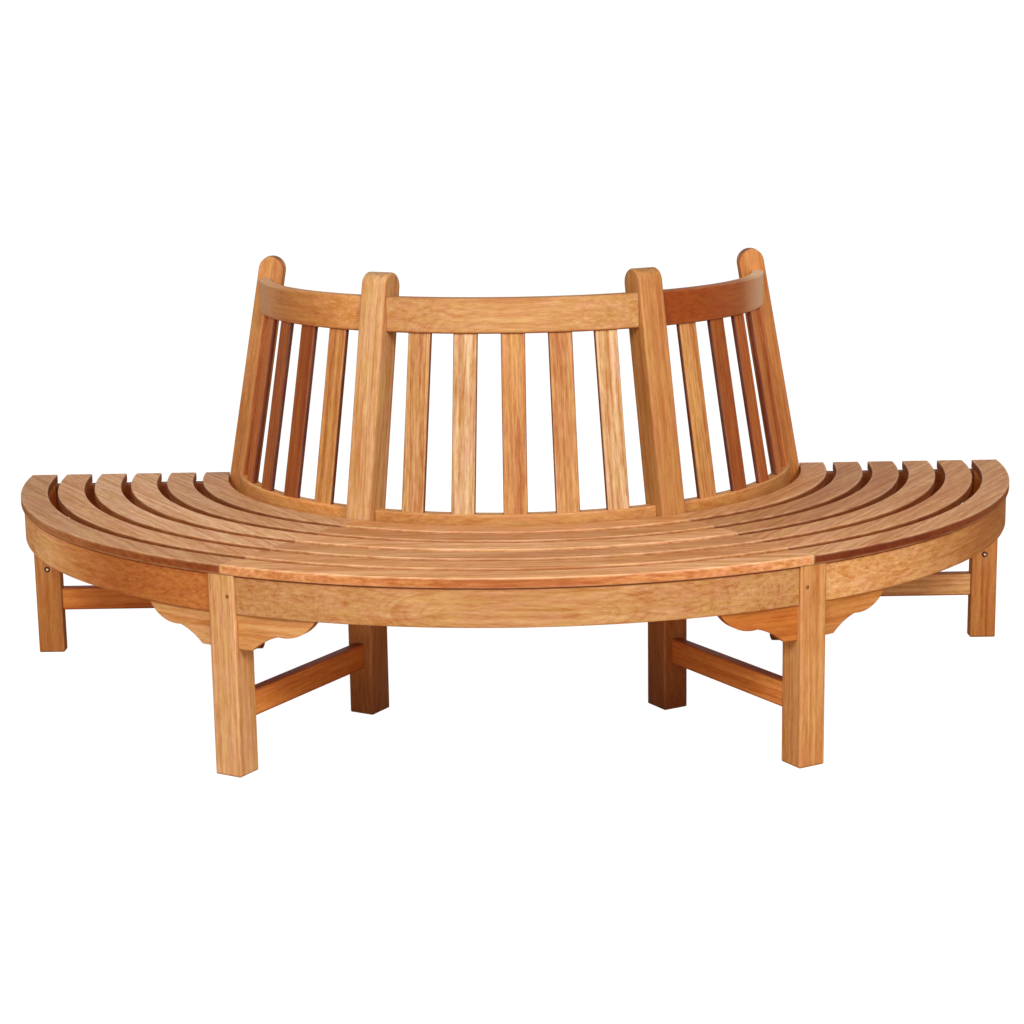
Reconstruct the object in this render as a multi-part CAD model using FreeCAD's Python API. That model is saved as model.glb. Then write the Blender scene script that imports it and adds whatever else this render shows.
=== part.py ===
import FreeCAD, Part

import os
from collections import namedtuple
from math import asin, atan2, cos, degrees, hypot, radians, sin, tan

Vector = FreeCAD.Vector

# Half-ring tree bench. Sizes are in millimetres and angles in degrees. The pieces are drawn about
# the centre of the ring on the ground, with the front of the bench towards -Y, and are moved at
# the end so that the origin is the middle of the footprint.

# Seat
seat_outer_radius = 1140.0
seat_top_height = 424.0
seat_slat_rings = 6
seat_slat_width = 60.0
seat_slat_gap = 22.0
seat_slat_thickness = 20.0
seat_slat_joint = 1.0
seat_edge_round = 2.5

# Front legs and back posts; the end frames are thinner and flush with the joining plane
leg_depth = 60.0
timber_width = 60.0
end_timber_width = 36.0
timber_edge_round = 3.0
post_depth = 66.0
post_crown_depth = 60.0
post_past_seat_edge = 2.0
post_notch_clearance = 1.0
post_knee_below_slats = 2.0
post_knee_bend = 150.0
post_lean = 10.15
post_height = 932.0

# Stretchers and seat bearers
stretcher_bottom = 102.0
stretcher_height = 54.0
stretcher_thickness = 22.0
bearer_height = 77.0
bearer_thickness = 30.0
middle_bearer_height = 45.0
board_edge_round = 2.0

# Front aprons
apron_height = 77.0
apron_thickness = 28.0
apron_setback = 6.0

# Corner brackets, as an ogee: flat toe at the leg, hollow, shelf, then a full belly to the tip
bracket_thickness = 22.0
bracket_setback = 8.0
bracket_length = 170.0
bracket_drop = 70.0
bracket_toe_length = 30.0
bracket_shelf_drop = 38.5
bracket_shelf_start = 88.0
bracket_hollow = 4.0
bracket_belly = 14.0

# Back
top_rail_height = 74.0
top_rail_thickness = 27.0
top_rail_below_post_top = 48.5
top_rail_setback = 11.0
bottom_rail_height = 74.0
bottom_rail_thickness = 27.0
bottom_rail_above_seat = 17.5
bottom_rail_setback = 26.5
back_slat_count = 5
back_slat_width = 50.5
back_slat_thickness = 10.0
back_slat_setback = 5.0
back_slat_housing = 12.0
back_slat_edge_round = 2.0

# Tenons
tenon_length = 22.0
tenon_thickness = 10.0
tenon_shoulder = 12.0
tenon_end_gap = 1.0
tenon_root = 5.0
stub_tenon_length = 12.0
curved_seat_gap = 0.2

# Pegs and screws
peg_diameter = 8.0
peg_from_joint = 14.0
peg_past_tenon = 8.0
apron_peg_below_slats = 42.0
bottom_rail_peg_below_top = 20.0
round_hole_play = 0.05
screw_shank_diameter = 4.0
screw_head_diameter = 8.0
screw_head_thickness = 3.0
screw_pocket_diameter = 9.0
slat_screw_grip = 26.0
slat_screw_bite = 13.0
slat_screw_from_centre = 7.5
bracket_screw_grip = 22.0
bracket_screw_bite = 25.0
bracket_screw_places = (15.0, 100.0)

# Connector nuts, which take the bolts of the twin half
nut_height = 203.0
nut_head_diameter = 13.0
nut_head_thickness = 2.5
nut_head_round = 1.2
nut_sleeve_diameter = 9.0
nut_thread_diameter = 5.0
nut_thread_depth = 26.0
nut_socket_diameter = 5.8
nut_socket_depth = 3.5

# Places that follow from the sizes above
seat_underside = seat_top_height - seat_slat_thickness
seat_pitch = seat_slat_width + seat_slat_gap
seat_depth = seat_slat_rings * seat_pitch - seat_slat_gap
seat_inner_radius = seat_outer_radius - seat_depth
leg_outer_face = seat_outer_radius
leg_inner_face = leg_outer_face - leg_depth
post_outer_face = seat_inner_radius + post_past_seat_edge
post_knee = seat_underside - post_knee_below_slats
post_foot_inner_face = post_outer_face - post_depth
post_crown_height = post_height - post_crown_depth / 2
apron_outer_radius = leg_outer_face - apron_setback
apron_inner_radius = apron_outer_radius - apron_thickness
apron_bottom = seat_underside - apron_height
top_rail_top = post_height - top_rail_below_post_top
top_rail_bottom = top_rail_top - top_rail_height
bottom_rail_top = seat_top_height + bottom_rail_above_seat
bottom_rail_bottom = bottom_rail_top - bottom_rail_height
ring_limit = 2 * seat_outer_radius

# A frame is a leg with its post: its angle from the front and the side planes of its timbers,
# measured along the ring from the frame's line. A bay lies between two frames.
Frame = namedtuple("Frame", "name angle low high")
Bay = namedtuple("Bay", "name start stop")
# A rail is a curved board of the back: its two radii and its two heights
Rail = namedtuple("Rail", "inner outer bottom top")

frames = [
    Frame("left_end", -90.0, 0.0, end_timber_width),
    Frame("mid_left", -30.0, -timber_width / 2, timber_width / 2),
    Frame("mid_right", 30.0, -timber_width / 2, timber_width / 2),
    Frame("right_end", 90.0, -end_timber_width, 0.0),
]
end_frames = [frames[0], frames[-1]]
bay_names = ("left", "middle", "right")
bays = [Bay(name, start, stop) for name, start, stop in zip(bay_names, frames, frames[1:])]


def post_face(height):
    """Radial place of a post's outer face at a height."""
    return post_outer_face - max(0.0, height - post_knee) * tan(radians(post_lean))


post_crown_place = post_face(post_crown_height) - post_crown_depth / 2 / cos(radians(post_lean))


def inner_lean():
    """Lean of a post's inner face, which runs from the knee to touch the round of the crown."""
    run = post_foot_inner_face - post_crown_place
    rise = post_crown_height - post_knee
    return degrees(atan2(run, rise) + asin(post_crown_depth / 2 / hypot(run, rise)))


post_inner_lean = inner_lean()


def post_inner_face(height):
    """Radial place of a post's inner face at a height."""
    return post_foot_inner_face - max(0.0, height - post_knee) * tan(radians(post_inner_lean))


def rail_between(bottom, top, setback, thickness):
    """A rail of the back, set back from the posts' outer face at its own middle height."""
    outer = post_face((bottom + top) / 2) - setback
    return Rail(outer - thickness, outer, bottom, top)


top_rail = rail_between(top_rail_bottom, top_rail_top, top_rail_setback, top_rail_thickness)
bottom_rail = rail_between(bottom_rail_bottom, bottom_rail_top, bottom_rail_setback, bottom_rail_thickness)


def box(x_range, y_range, z_range):
    """A box between two limits on each axis."""
    (x0, x1), (y0, y1), (z0, z1) = sorted(x_range), sorted(y_range), sorted(z_range)
    return Part.makeBox(x1 - x0, y1 - y0, z1 - z0, Vector(x0, y0, z0))


def placed(shape, angle):
    """Turn a shape drawn with +X outwards and +Y along the ring to its angle from the front."""
    shape.rotate(Vector(0, 0, 0), Vector(0, 0, 1), angle - 90.0)
    return shape


def eased(shape, radius, is_picked):
    """Round the edges of a plain timber that a test picks."""
    return shape.makeFillet(radius, [edge for edge in shape.Edges if is_picked(edge)])


def is_curved(edge):
    return isinstance(edge.Curve, Part.Circle)


def is_long(length):
    """Test for edges longer than a length."""
    return lambda edge: edge.Length > length


def is_upright_or_on_floor(edge):
    rise = edge.BoundBox.ZLength
    return rise > timber_width or (rise < 1 and edge.BoundBox.ZMax < 1)


def line(start, stop):
    return Part.LineSegment(start, stop).toShape()


def arc(start, middle, stop):
    return Part.Arc(start, middle, stop).toShape()


def prism(edges, direction):
    """A solid from a closed outline pushed along a direction."""
    return Part.Face(Part.Wire(edges)).extrude(direction)


def polygon_prism(points, direction):
    return prism([line(a, b) for a, b in zip(points, points[1:] + points[:1])], direction)


def joined(board, additions):
    """One solid from a board and its tenons."""
    return board.fuse(additions).removeSplitter()


def cut_from(timber, tools):
    """A timber with its mortises, notches and holes."""
    return timber.cut(tools) if tools else timber


def ring_angle(radius, angle, offset):
    """Angle at which a circle of the ring stands an offset along the ring from a frame's line."""
    return angle + degrees(asin(offset / radius))


def ring_point(radius, angle, height):
    return Vector(radius * sin(radians(angle)), -radius * cos(radians(angle)), height)


def curved_board(inner, outer, bottom, top, bay, start_offset, stop_offset):
    """A board sawn to two arcs, its ends parallel to the lines of the frames at its bay's ends."""
    starts = [ring_angle(radius, bay.start.angle, start_offset) for radius in (inner, outer)]
    stops = [ring_angle(radius, bay.stop.angle, stop_offset) for radius in (inner, outer)]
    corners = [
        ring_point(inner, starts[0], bottom),
        ring_point(outer, starts[1], bottom),
        ring_point(outer, stops[1], bottom),
        ring_point(inner, stops[0], bottom),
    ]
    edges = [
        line(corners[0], corners[1]),
        arc(corners[1], ring_point(outer, (starts[1] + stops[1]) / 2, bottom), corners[2]),
        line(corners[2], corners[3]),
        arc(corners[3], ring_point(inner, (starts[0] + stops[0]) / 2, bottom), corners[0]),
    ]
    return prism(edges, Vector(0, 0, top - bottom))


def bay_middle(bay):
    return (bay.start.angle + bay.stop.angle) / 2


def bay_ends(bay):
    """Both ends of a bay: the frame, its face there, and which way the bay lies from that face."""
    return [(bay.start, bay.start.high, 1), (bay.stop, bay.stop.low, -1)]


def frame_ends(frame):
    """The bays that meet a frame, as (face, which way the bay lies)."""
    meeting = [end for bay in bays for end in bay_ends(bay) if end[0] is frame]
    return [(face, side) for _, face, side in meeting]


def tongue(frame, face, side, mid_radius, heights, reach):
    """A tenon of a curved board, from its root inside the board to its reach into the timber."""
    bottom, top = heights
    cheeks = (mid_radius - tenon_thickness / 2, mid_radius + tenon_thickness / 2)
    length = (face + side * tenon_root, face - side * reach)
    return placed(box(cheeks, length, (bottom + tenon_shoulder, top - tenon_shoulder)), frame.angle)


def radial_tongue(angle, centre, face, way, heights, reach):
    """A tenon of a straight board that runs outwards; way is +1 where it points outwards."""
    bottom, top = heights
    cheeks = (centre - tenon_thickness / 2, centre + tenon_thickness / 2)
    length = (face - way * tenon_root, face + way * reach)
    return placed(box(length, cheeks, (bottom + tenon_shoulder, top - tenon_shoulder)), angle)


def mortise_reach(reach):
    return reach + tenon_end_gap


def frame_centre(frame):
    return (frame.low + frame.high) / 2


def rod(base, direction, diameter, length):
    return Part.makeCylinder(diameter / 2, length, base, direction)


# The four frames

apron_heights = (apron_bottom, seat_underside)
apron_middle = (apron_inner_radius + apron_outer_radius) / 2
stretcher_heights = (stretcher_bottom, stretcher_bottom + stretcher_height)
bearer_heights = (seat_underside - bearer_height, seat_underside)
middle_bearer_heights = (seat_underside - middle_bearer_height, seat_underside)
middle_bearer_rail_heights = (bottom_rail_bottom, seat_underside)


def rail_middle(rail):
    return (rail.inner + rail.outer) / 2


def rail_heights(rail):
    return (rail.bottom, rail.top)


def frame_mortises(frame, face, way):
    """Mortises of a stretcher and a seat bearer in the leg or post whose face they meet."""
    reach = mortise_reach(tenon_length)
    centre = frame_centre(frame)
    return [
        radial_tongue(frame.angle, centre, face, way, heights, reach)
        for heights in (stretcher_heights, bearer_heights)
    ]


def front_leg(frame):
    """Square leg under the seat's outer edge."""
    size = ((leg_inner_face, leg_outer_face), (frame.low, frame.high), (0, seat_underside))
    leg = placed(eased(box(*size), timber_edge_round, is_upright_or_on_floor), frame.angle)
    cuts = frame_mortises(frame, leg_inner_face, 1)
    for face, side in frame_ends(frame):
        cuts.append(tongue(frame, face, side, apron_middle, apron_heights, mortise_reach(tenon_length)))
    cuts += [apron_peg_hole(end) for end in pegged_apron_ends if end[0] is frame]
    if frame in end_frames:
        cuts.append(nut_room(frame))
    return cut_from(leg, cuts)


def leaning_outwards(lean):
    """Outward direction square to a face that leans inwards."""
    return Vector(cos(radians(lean)), 0, sin(radians(lean)))


def post_outline(y):
    """Side view of a post: upright to its knee, leaning inwards above, with a round top."""
    crown = Vector(post_crown_place, y, post_crown_height)
    crown_front = crown + leaning_outwards(post_lean) * (post_crown_depth / 2)
    crown_back = crown - leaning_outwards(post_inner_lean) * (post_crown_depth / 2)
    outer_foot, outer_knee = Vector(post_outer_face, y, 0), Vector(post_outer_face, y, post_knee)
    inner_foot, inner_knee = Vector(post_foot_inner_face, y, 0), Vector(post_foot_inner_face, y, post_knee)
    return [
        line(inner_foot, outer_foot),
        line(outer_foot, outer_knee),
        line(outer_knee, crown_front),
        arc(crown_front, crown + Vector(0, 0, post_crown_depth / 2), crown_back),
        line(crown_back, inner_knee),
        line(inner_knee, inner_foot),
    ]


def is_at_knee(edge):
    is_level = edge.BoundBox.ZLength < 1
    return is_level and abs(edge.BoundBox.ZMax - post_knee) < post_depth / 2


def is_along_post_or_on_floor(edge):
    return edge.BoundBox.YLength < 1 or edge.BoundBox.ZMax < 1


def post_body(frame):
    """A post before its joints are cut, drawn with +X outwards."""
    post = prism(post_outline(frame.low), Vector(0, frame.high - frame.low, 0))
    post = eased(post, post_knee_bend, is_at_knee)
    return eased(post, timber_edge_round, is_along_post_or_on_floor)


def back_post(frame):
    """Post that carries the seat's inner edge and the back."""
    post = placed(post_body(frame), frame.angle)
    cuts = frame_mortises(frame, post_outer_face, -1)
    reach = mortise_reach(tenon_length)
    for face, side in frame_ends(frame):
        for rail in (top_rail, bottom_rail):
            cuts.append(tongue(frame, face, side, rail_middle(rail), rail_heights(rail), reach))
    cuts += [rail_peg_hole(peg) for peg in rail_peg_places() if peg[0] is frame]
    return cut_from(post, cuts)


def frame_board(frame, thickness, heights):
    """Straight board between a frame's post and leg, with a tenon at each end."""
    centre = frame_centre(frame)
    sides = (centre - thickness / 2, centre + thickness / 2)
    board = box((post_outer_face, leg_inner_face), sides, heights)
    board = eased(board, board_edge_round, is_long(leg_depth * 2))
    tenons = [
        radial_tongue(frame.angle, centre, leg_inner_face, 1, heights, tenon_length),
        radial_tongue(frame.angle, centre, post_outer_face, -1, heights, tenon_length),
    ]
    return joined(placed(board, frame.angle), tenons)


def stretcher(frame):
    return frame_board(frame, stretcher_thickness, stretcher_heights)


def seat_bearer(frame):
    return cut_from(frame_board(frame, bearer_thickness, bearer_heights), screw_rooms(bearer_screws(frame)))


# The curved boards of each bay

def bay_board(bay, inner, outer, bottom, top):
    """Curved board between two frames, with a tenon at each end."""
    board = curved_board(inner, outer, bottom, top, bay, bay.start.high, bay.stop.low)
    board = eased(board, board_edge_round, is_curved)
    middle = (inner + outer) / 2
    tenons = [tongue(*end, middle, (bottom, top), tenon_length) for end in bay_ends(bay)]
    return joined(board, tenons)


def apron(bay):
    """Front apron under the seat's outer edge."""
    board = bay_board(bay, apron_inner_radius, apron_outer_radius, *apron_heights)
    cuts = [middle_bearer_tongue(bay, 1, mortise_reach(stub_tenon_length))]
    cuts += [apron_peg_hole(end) for end in pegged_apron_ends if end in bay_ends(bay)]
    cuts += screw_rooms(apron_screws(bay)) + screw_rooms(bracket_screws(bay))
    return cut_from(board, cuts)


def middle_bearer_tongue(bay, way, reach):
    """Stub tenon of a middle bearer, outwards into the apron or inwards into the bottom rail."""
    face = apron_inner_radius if way > 0 else bottom_rail.outer
    heights = middle_bearer_heights if way > 0 else middle_bearer_rail_heights
    return radial_tongue(bay_middle(bay), 0.0, face, way, heights, reach)


def middle_bearer(bay):
    """Board that carries the slats halfway along a bay, from the bottom rail to the apron."""
    ends = (bottom_rail.outer + curved_seat_gap, apron_inner_radius - curved_seat_gap)
    sides = (-bearer_thickness / 2, bearer_thickness / 2)
    board = eased(box(ends, sides, middle_bearer_heights), board_edge_round, is_long(leg_depth * 2))
    tenons = [middle_bearer_tongue(bay, way, stub_tenon_length) for way in (1, -1)]
    return cut_from(joined(placed(board, bay_middle(bay)), tenons), screw_rooms(middle_bearer_screws(bay)))


def top_rail_board(bay):
    return cut_from(bay_board(bay, *top_rail), back_slat_housings(bay) + rail_peg_holes(bay, top_rail))


def bottom_rail_board(bay):
    cuts = back_slat_housings(bay) + rail_peg_holes(bay, bottom_rail)
    cuts.append(middle_bearer_tongue(bay, -1, mortise_reach(stub_tenon_length)))
    return cut_from(bay_board(bay, *bottom_rail), cuts)


def back_slat_angles(bay):
    """Angles of a bay's back slats, with equal gaps at half their height."""
    radius = (rail_middle(top_rail) + rail_middle(bottom_rail)) / 2
    start = ring_angle(radius, bay.start.angle, bay.start.high)
    stop = ring_angle(radius, bay.stop.angle, bay.stop.low)
    slat_sweep = 2 * degrees(asin(back_slat_width / 2 / radius))
    gap = (stop - start - back_slat_count * slat_sweep) / (back_slat_count + 1)
    return [start + gap + slat_sweep / 2 + number * (gap + slat_sweep) for number in range(back_slat_count)]


def back_slat_blank(angle, edge_round=0.0):
    """Flat slat that leans from the bottom rail to the top rail and is housed in both."""
    slope = (bottom_rail.outer - top_rail.outer) / (top_rail.bottom - bottom_rail.top)
    level_thickness = back_slat_thickness * hypot(1, slope)
    low_face = bottom_rail.outer - back_slat_setback + slope * back_slat_housing
    high_face = top_rail.outer - back_slat_setback - slope * back_slat_housing
    low, high = bottom_rail.top - back_slat_housing, top_rail.bottom + back_slat_housing
    side = -back_slat_width / 2
    corners = [
        Vector(low_face - level_thickness, side, low),
        Vector(low_face, side, low),
        Vector(high_face, side, high),
        Vector(high_face - level_thickness, side, high),
    ]
    slat = polygon_prism(corners, Vector(0, back_slat_width, 0))
    if edge_round:
        slat = eased(slat, edge_round, is_long(back_slat_width * 2))
    return placed(slat, angle)


def back_slat_housings(bay):
    return [back_slat_blank(angle) for angle in back_slat_angles(bay)]


def back_slats(bay):
    slats = [back_slat_blank(angle, back_slat_edge_round) for angle in back_slat_angles(bay)]
    return Part.makeCompound(slats)


# Seat slats

def slat_radii(ring):
    """Inner and outer radius of a ring of slats, counted from the inside."""
    inner = seat_inner_radius + ring * seat_pitch
    return inner, inner + seat_slat_width


def post_notch(frame):
    """Room for a post where it passes the innermost slats."""
    depth = (post_foot_inner_face, post_outer_face + post_notch_clearance)
    sides = (frame.low - post_notch_clearance, frame.high + post_notch_clearance)
    return placed(box(depth, sides, (seat_underside, seat_top_height)), frame.angle)


def seat_slat(bay, ring):
    """One slat of one ring, from frame line to frame line; the ends of the bench are cut flush."""
    inner, outer = slat_radii(ring)
    start = 0.0 if bay.start in end_frames else seat_slat_joint / 2
    stop = 0.0 if bay.stop in end_frames else -seat_slat_joint / 2
    slat = curved_board(inner, outer, seat_underside, seat_top_height, bay, start, stop)
    slat = eased(slat, seat_edge_round, is_curved)
    cuts = screw_rooms(screw for screw in slat_screws(bay) if inner < screw.radius < outer)
    if ring == 0:
        cuts += [post_notch(bay.start), post_notch(bay.stop)]
    return cut_from(slat, cuts)


# Corner brackets

def bracket_turn(side):
    """Angle from a frame's line to the middle of the bracket on one side of its leg."""
    radius = apron_outer_radius - bracket_setback
    return side * degrees(asin(timber_width / 2 / radius) + asin(bracket_length / 2 / radius))


def bowed(start, stop, bow):
    """Arc between two points of a bracket's outline; a positive bow lifts its middle."""
    chord = stop - start
    lift = Vector(0, -chord.z, chord.y).normalize() * (bow if chord.y > 0 else -bow)
    return arc(start, (start + stop) / 2 + lift, stop)


def bracket_outline(side):
    """Face of a bracket, seen from the front, with its leg end run into the leg to be trimmed."""
    front = apron_outer_radius - bracket_setback

    def at(along, drop):
        return Vector(front, side * (along - bracket_length / 2), apron_bottom - drop)

    leg_top, leg_foot = at(-bracket_thickness, 0), at(-bracket_thickness, bracket_drop)
    toe, shelf = at(bracket_toe_length, bracket_drop), at(bracket_shelf_start, bracket_shelf_drop)
    tip = at(bracket_length, 0)
    return [
        line(leg_top, leg_foot),
        line(leg_foot, toe),
        bowed(toe, shelf, bracket_hollow),
        bowed(shelf, tip, -bracket_belly),
        line(tip, leg_top),
    ]


def corner_bracket(bay, end):
    """Shaped bracket under an apron, beside the leg at one end of the bay."""
    frame, face, side = end
    board = prism(bracket_outline(side), Vector(-bracket_thickness, 0, 0))
    board = placed(board, frame.angle + bracket_turn(side))
    leg_room = box((0, ring_limit), (face, face - side * timber_width), (0, seat_underside))
    return cut_from(board, [placed(leg_room, frame.angle)] + screw_rooms(bracket_screws(bay)))


bracket_ends = [(bay, end) for bay in bays for end in bay_ends(bay) if end[0] not in end_frames]


# Screws, all driven upwards from below; a screw stands on the ring at a radius and an angle

Screw = namedtuple("Screw", "radius angle seat bite pocket_bottom")


def screw_at(frame_angle, radius, offset, underside, grip, bite, pocket_bottom):
    """A screw at a radial distance and an offset along the ring from a line of the ring."""
    reach = (radius ** 2 + offset ** 2) ** 0.5
    return Screw(reach, ring_angle(reach, frame_angle, offset), underside - grip, grip + bite, pocket_bottom)


def slat_screw(angle, radius, offset, pocket_bottom):
    return screw_at(angle, radius, offset, seat_underside, slat_screw_grip, slat_screw_bite, pocket_bottom)


def slat_middles():
    return [sum(slat_radii(ring)) / 2 for ring in range(seat_slat_rings)]


def bearer_screws(frame):
    """Screws up through a frame's seat bearer, into the end of each slat but the outermost."""
    centre = frame_centre(frame)
    offsets = [centre] if frame in end_frames else [-slat_screw_from_centre, slat_screw_from_centre]
    bottom = bearer_heights[0]
    places = [(radius, offset) for radius in slat_middles()[:-1] for offset in offsets]
    return [slat_screw(frame.angle, radius, offset, bottom) for radius, offset in places]


def middle_bearer_screws(bay):
    """Screws up through a middle bearer; the outermost one stands inside the apron."""
    radii = slat_middles()
    radii[-1] = (slat_radii(seat_slat_rings - 1)[0] + apron_inner_radius) / 2
    return [slat_screw(bay_middle(bay), radius, 0.0, middle_bearer_heights[0]) for radius in radii]


def apron_screws(bay):
    """Screws up through an apron into the outermost slat, at the quarters of the bay."""
    quarter = (bay.stop.angle - bay.start.angle) / 4
    angles = (bay_middle(bay) - quarter, bay_middle(bay) + quarter)
    return [slat_screw(angle, apron_middle, 0.0, apron_bottom) for angle in angles]


def slat_screws(bay):
    """Every screw that bites into the slats of a bay."""
    near = bearer_screws(bay.start) + bearer_screws(bay.stop)
    inside = [screw for screw in near if bay.start.angle < screw.angle < bay.stop.angle]
    return inside + middle_bearer_screws(bay) + apron_screws(bay)


def bracket_screws(bay):
    """Screws up through the corner brackets of a bay into its apron."""
    radius = apron_outer_radius - bracket_setback - bracket_thickness / 2
    screws = []
    for frame, _, side in [end for end in bay_ends(bay) if end[0] not in end_frames]:
        for along in bracket_screw_places:
            offset = side * (along - bracket_length / 2)
            screws.append(screw_at(frame.angle + bracket_turn(side), radius, offset, apron_bottom,
                                   bracket_screw_grip, bracket_screw_bite, apron_bottom - bracket_drop))
    return screws


def screw_solid(screw):
    up = Vector(0, 0, 1)
    seat = ring_point(screw.radius, screw.angle, screw.seat)
    head = rod(seat - up * screw_head_thickness, up, screw_head_diameter, screw_head_thickness)
    return joined(head, [rod(seat, up, screw_shank_diameter, screw.bite)])


def screw_rooms(screws):
    """Holes for shanks and pockets for heads."""
    up = Vector(0, 0, 1)
    rooms = []
    for screw in screws:
        seat = ring_point(screw.radius, screw.angle, screw.seat)
        hole = rod(seat, up, screw_shank_diameter + 2 * round_hole_play, screw.bite)
        depth = screw.seat - screw.pocket_bottom
        rooms.append(joined(rod(seat - up * depth, up, screw_pocket_diameter, depth), [hole]))
    return rooms


# Pegs

pegged_apron_ends = bay_ends(bays[1]) + [bay_ends(bays[0])[0], bay_ends(bays[2])[1]]


def apron_peg(end, diameter):
    """Peg through the face of a leg and the apron's tenon behind it."""
    frame, face, side = end
    length = leg_outer_face - (apron_middle - tenon_thickness / 2) + peg_past_tenon
    base = Vector(leg_outer_face, face - side * peg_from_joint, seat_underside - apron_peg_below_slats)
    return placed(rod(base, Vector(-1, 0, 0), diameter, length), frame.angle)


def apron_peg_hole(end):
    return apron_peg(end, peg_diameter + 2 * round_hole_play)


def rail_peg_places():
    """Where the tenons of the rails are pegged: frame, face, side, radius and height."""
    return [
        (frame, face, side, rail_middle(rail), height)
        for bay in bays
        for frame, face, side in bay_ends(bay)
        for rail, height in (
            (top_rail, (top_rail_bottom + top_rail_top) / 2),
            (bottom_rail, bottom_rail_top - bottom_rail_peg_below_top),
        )
    ]


def rail_peg(place, diameter):
    """Peg driven square to a post's inner face, through the tenon of a rail."""
    frame, face, side, radius, height = place
    outwards = leaning_outwards(post_inner_lean)
    depth = (radius - post_inner_face(height)) * outwards.x
    base = Vector(radius, face - side * peg_from_joint, height) - outwards * depth
    return placed(rod(base, outwards, diameter, depth + tenon_thickness / 2 + peg_past_tenon), frame.angle)


def rail_peg_hole(place):
    return rail_peg(place, peg_diameter + 2 * round_hole_play)


def rail_peg_holes(bay, rail):
    """Peg holes through the tenons of one rail."""
    return [
        rail_peg_hole(place)
        for place in rail_peg_places()
        if place[:3] in bay_ends(bay) and rail.bottom < place[4] < rail.top
    ]


# Connector nuts at the ends of the bench

def nut_axis(frame):
    """Start and direction of a nut: from the leg's inner side to the joining plane."""
    side = max((frame.low, frame.high), key=abs)
    start = Vector(leg_outer_face - leg_depth / 2, side, nut_height)
    return start, Vector(0, -side, 0).normalize()


def nut_room(frame):
    start, way = nut_axis(frame)
    room = rod(start, way, nut_sleeve_diameter + 2 * round_hole_play, end_timber_width)
    return placed(room, frame.angle)


def connector_nut(frame):
    """Sleeve nut with a round head and a hexagon socket, open to the joining plane."""
    start, way = nut_axis(frame)
    head = rod(start, way * -1, nut_head_diameter, nut_head_thickness)
    head = eased(head, nut_head_round, lambda edge: is_curved(edge) and not is_on_plane(edge, start.y))
    nut = joined(head, [rod(start, way, nut_sleeve_diameter, end_timber_width)])
    thread = rod(start + way * end_timber_width, way * -1, nut_thread_diameter, nut_thread_depth)
    socket_corners = [
        start - way * nut_head_thickness + Vector(cos(turn), 0, sin(turn)) * (nut_socket_diameter / 2)
        for turn in (radians(60 * corner) for corner in range(6))
    ]
    socket = polygon_prism(socket_corners, way * nut_socket_depth)
    return placed(cut_from(nut, [thread, socket]), frame.angle)


def is_on_plane(edge, y):
    return abs(edge.BoundBox.YMin - y) < 0.01 and abs(edge.BoundBox.YMax - y) < 0.01


# All nodes

def all_parts():
    parts = {}
    for frame in frames:
        parts["front_leg_" + frame.name] = front_leg(frame)
        parts["back_post_" + frame.name] = back_post(frame)
        parts["seat_bearer_" + frame.name] = seat_bearer(frame)
        parts["stretcher_" + frame.name] = stretcher(frame)
    for bay in bays:
        parts["apron_" + bay.name] = apron(bay)
        parts["middle_bearer_" + bay.name] = middle_bearer(bay)
        parts["top_rail_" + bay.name] = top_rail_board(bay)
        parts["bottom_rail_" + bay.name] = bottom_rail_board(bay)
        parts["back_slats_" + bay.name] = back_slats(bay)
        for ring in range(seat_slat_rings):
            parts["seat_slat_%s_%d" % (bay.name, ring + 1)] = seat_slat(bay, ring)
    for bay, end in bracket_ends:
        parts["corner_bracket_%s_%s" % (end[0].name, bay.name)] = corner_bracket(bay, end)
    under_slats = [screw for frame in frames for screw in bearer_screws(frame)]
    under_slats += [screw for bay in bays for screw in middle_bearer_screws(bay) + apron_screws(bay)]
    under_brackets = [screw for bay in bays for screw in bracket_screws(bay)]
    parts["slat_screws"] = Part.makeCompound([screw_solid(screw) for screw in under_slats])
    parts["bracket_screws"] = Part.makeCompound([screw_solid(screw) for screw in under_brackets])
    parts["apron_pegs"] = Part.makeCompound([apron_peg(end, peg_diameter) for end in pegged_apron_ends])
    parts["rail_pegs"] = Part.makeCompound([rail_peg(place, peg_diameter) for place in rail_peg_places()])
    parts["connector_nuts"] = Part.makeCompound([connector_nut(frame) for frame in end_frames])
    return parts


def main():
    os.makedirs("parts", exist_ok=True)
    to_footprint_middle = Vector(0, seat_outer_radius / 2, 0)
    for name, shape in all_parts().items():
        shape.translate(to_footprint_middle)
        shape.exportStep("parts/%s.step" % name)
        print(name, len(shape.Solids), shape.isValid(), round(shape.Volume))


main()
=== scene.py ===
import random
from collections import namedtuple
from math import asin, atan2, ceil, cos, degrees, hypot, radians, sin, sqrt, tan

import bmesh
import bpy
from mathutils import Matrix, Vector


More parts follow.
